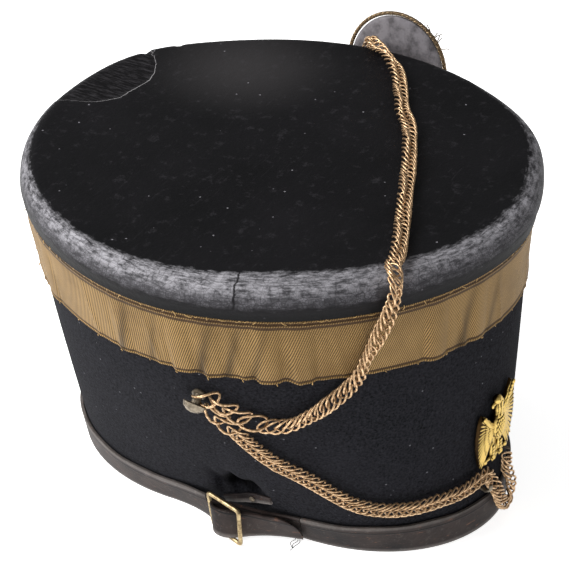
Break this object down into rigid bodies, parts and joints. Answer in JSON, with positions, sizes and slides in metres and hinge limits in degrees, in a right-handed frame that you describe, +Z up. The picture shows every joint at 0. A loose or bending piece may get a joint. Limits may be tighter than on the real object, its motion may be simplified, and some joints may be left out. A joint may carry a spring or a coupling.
{
  "type": "shako hat",
  "caption": "Tall stiff cloth hat with a sunken leather top, wide gold lace, curb chain over the crown, spread-wing badge, side cockade and a buckled strap at its foot.",
  "frame": {"origin": "middle of the whole outline in plan, at the floor the hat's foot rests on", "axes": "+Z up; -Y is the wearer's front; +X is the wearer's left, where the cockade is"},
  "size_m": [0.2346, 0.2278, 0.1704],
  "materials": {
    "cloth": "matt wool cloth",
    "black_leather": "worn lacquer",
    "strap_leather": "worn",
    "gold_lace": "woven metal thread",
    "gilt": "gilt",
    "bronze": "tarnished",
    "bullion": "tarnished wire cord",
    "grey_metal": "dull bronze"
  },
  "bodies": {
    "root": {"cloth_body": "cloth", "crown_top": "black_leather", "lace_band": "gold_lace", "base_band": "strap_leather", "cinch_strap": "strap_leather", "strap_tab": "strap_leather", "tab_rivet": "grey_metal", "buckle_frame": "gilt", "stud_right": "grey_metal", "stud_left": "grey_metal", "eagle_badge": "gilt", "chain_hook": "grey_metal", "end_pin": "grey_metal", "cockade": "black_leather", "cockade_rope": "bullion", "cockade_pin": "grey_metal", "chain_over": "bronze", "chain_front": "bronze"}
  },
  "joints": []
}
